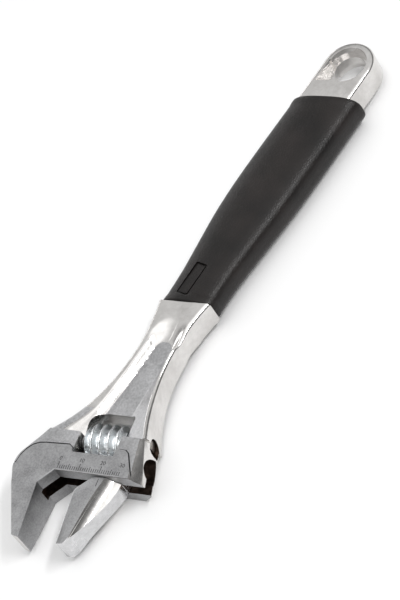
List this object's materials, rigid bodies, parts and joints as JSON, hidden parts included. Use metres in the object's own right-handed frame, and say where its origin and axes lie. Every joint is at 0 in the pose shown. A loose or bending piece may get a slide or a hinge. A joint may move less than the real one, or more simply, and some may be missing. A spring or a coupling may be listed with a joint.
{
  "type": "adjustable wrench",
  "caption": "Adjustable wrench with a forged handle and angled fixed jaw, a sliding jaw driven by a knurled worm, a soft handle sleeve and a hanging hole.",
  "frame": {"origin": "centre of the footprint of the wrench lying on its side, on the surface it lies on", "axes": "+X along the handle from the jaws to the hanging hole, +Y towards the back of the fixed jaw, +Z through the thickness"},
  "size_m": [0.257, 0.0594, 0.0176],
  "materials": {
    "forged_steel": "satin plated, ground flats on the head",
    "jaw_steel": "ground flats, polished edges",
    "worm_chrome": "polished",
    "pin_steel": "dull, as turned",
    "spring_steel": "drawn wire",
    "sleeve_rubber": "fine leather grain"
  },
  "bodies": {
    "wrench": {"body": "forged_steel", "worm_pin": "pin_steel", "worm_spring": "spring_steel", "handle_sleeve": "sleeve_rubber"},
    "jaw": {"movable_jaw": "jaw_steel"},
    "worm": {"worm": "worm_chrome"}
  },
  "joints": [
    {"name": "worm_turn", "type": "hinge", "parent": "wrench", "child": "worm", "pos_m": [-0.07628, 0.00068, 0.0088], "axis": [0.2588, -0.9659, 0], "range_deg": [-1190, 1595]},
    {"name": "jaw_slide", "type": "slide", "parent": "wrench", "child": "jaw", "axis": [0.2588, -0.9659, 0], "range_m": [-0.0177, 0.01321]}
  ],
  "couplings": [
    {"joint": "worm_turn", "follows": "jaw_slide", "rad_per_m": -1570.8}
  ]
}
